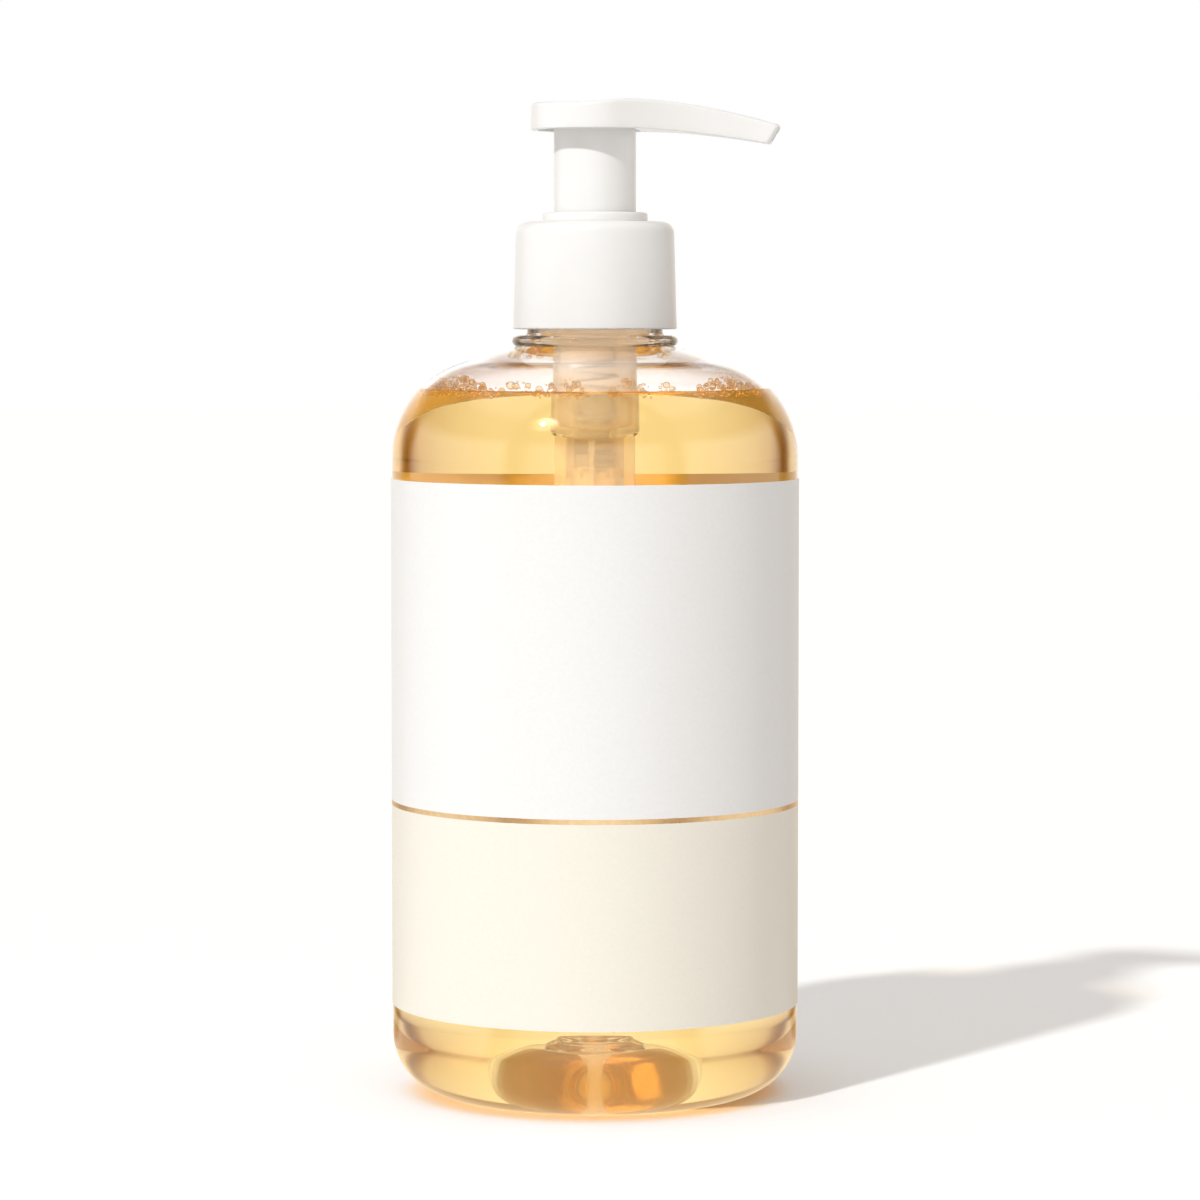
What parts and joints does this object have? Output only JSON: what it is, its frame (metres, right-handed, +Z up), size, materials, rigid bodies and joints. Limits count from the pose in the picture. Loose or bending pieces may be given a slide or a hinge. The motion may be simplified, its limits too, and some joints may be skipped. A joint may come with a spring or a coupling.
{
  "type": "pump shampoo bottle",
  "caption": "Clear round bottle of amber liquid shampoo with a rounded shoulder, a full wrap label and a screw-on white lotion pump with a forward spout.",
  "frame": {"origin": "centre of the base, on the surface that the bottle stands on", "axes": "+Z up along the bottle, +X from the pump's axis towards the spout's tip"},
  "size_m": [0.0744, 0.0744, 0.1806],
  "materials": {
    "clear_bottle": "clear gloss",
    "label_film": "satin",
    "shampoo": "clear amber liquid",
    "white_plastic": "semi-gloss",
    "natural_plastic": "translucent",
    "gasket": "soft foam",
    "ball_steel": "polished",
    "spring_steel": "drawn wire",
    "piston_plastic": "soft"
  },
  "bodies": {
    "bottle": {"bottle": "clear_bottle", "label": "label_film", "shampoo": "shampoo"},
    "pump": {"housing": "natural_plastic", "neck_gasket": "gasket", "piston_stop": "white_plastic", "valve_cage": "white_plastic", "dip_tube": "natural_plastic", "lock_ring": "white_plastic", "spring": "spring_steel"},
    "closure": {"closure": "white_plastic"},
    "inlet_valve": {"inlet_ball": "ball_steel"},
    "piston": {"piston": "piston_plastic"},
    "head": {"actuator": "white_plastic", "stem": "white_plastic", "piston_rod": "white_plastic"}
  },
  "joints": [
    {"name": "pump_lift", "type": "slide", "parent": "bottle", "child": "pump", "axis": [0, 0, 1], "range_m": [0, 0.0064]},
    {"name": "closure_turn", "type": "hinge", "parent": "pump", "child": "closure", "pos_m": [0, 0, 0.149], "axis": [0, 0, 1], "range_deg": [0, 540]},
    {"name": "ball_lift", "type": "slide", "parent": "pump", "child": "inlet_valve", "axis": [0, 0, 1], "range_m": [0, 0.0013]},
    {"name": "head_press", "type": "slide", "parent": "pump", "child": "piston", "axis": [0, 0, 1], "range_m": [-0.0125, 0], "stiffness_N_per_m": 770, "springref_m": 0.008, "deforming": ["spring"]},
    {"name": "head_turn", "type": "hinge", "parent": "piston", "child": "head", "pos_m": [0, 0, 0.165], "axis": [0, 0, 1], "continuous": true}
  ],
  "couplings": [
    {"joint": "pump_lift", "follows": "closure_turn", "m_per_rad": 0.0006737}
  ]
}
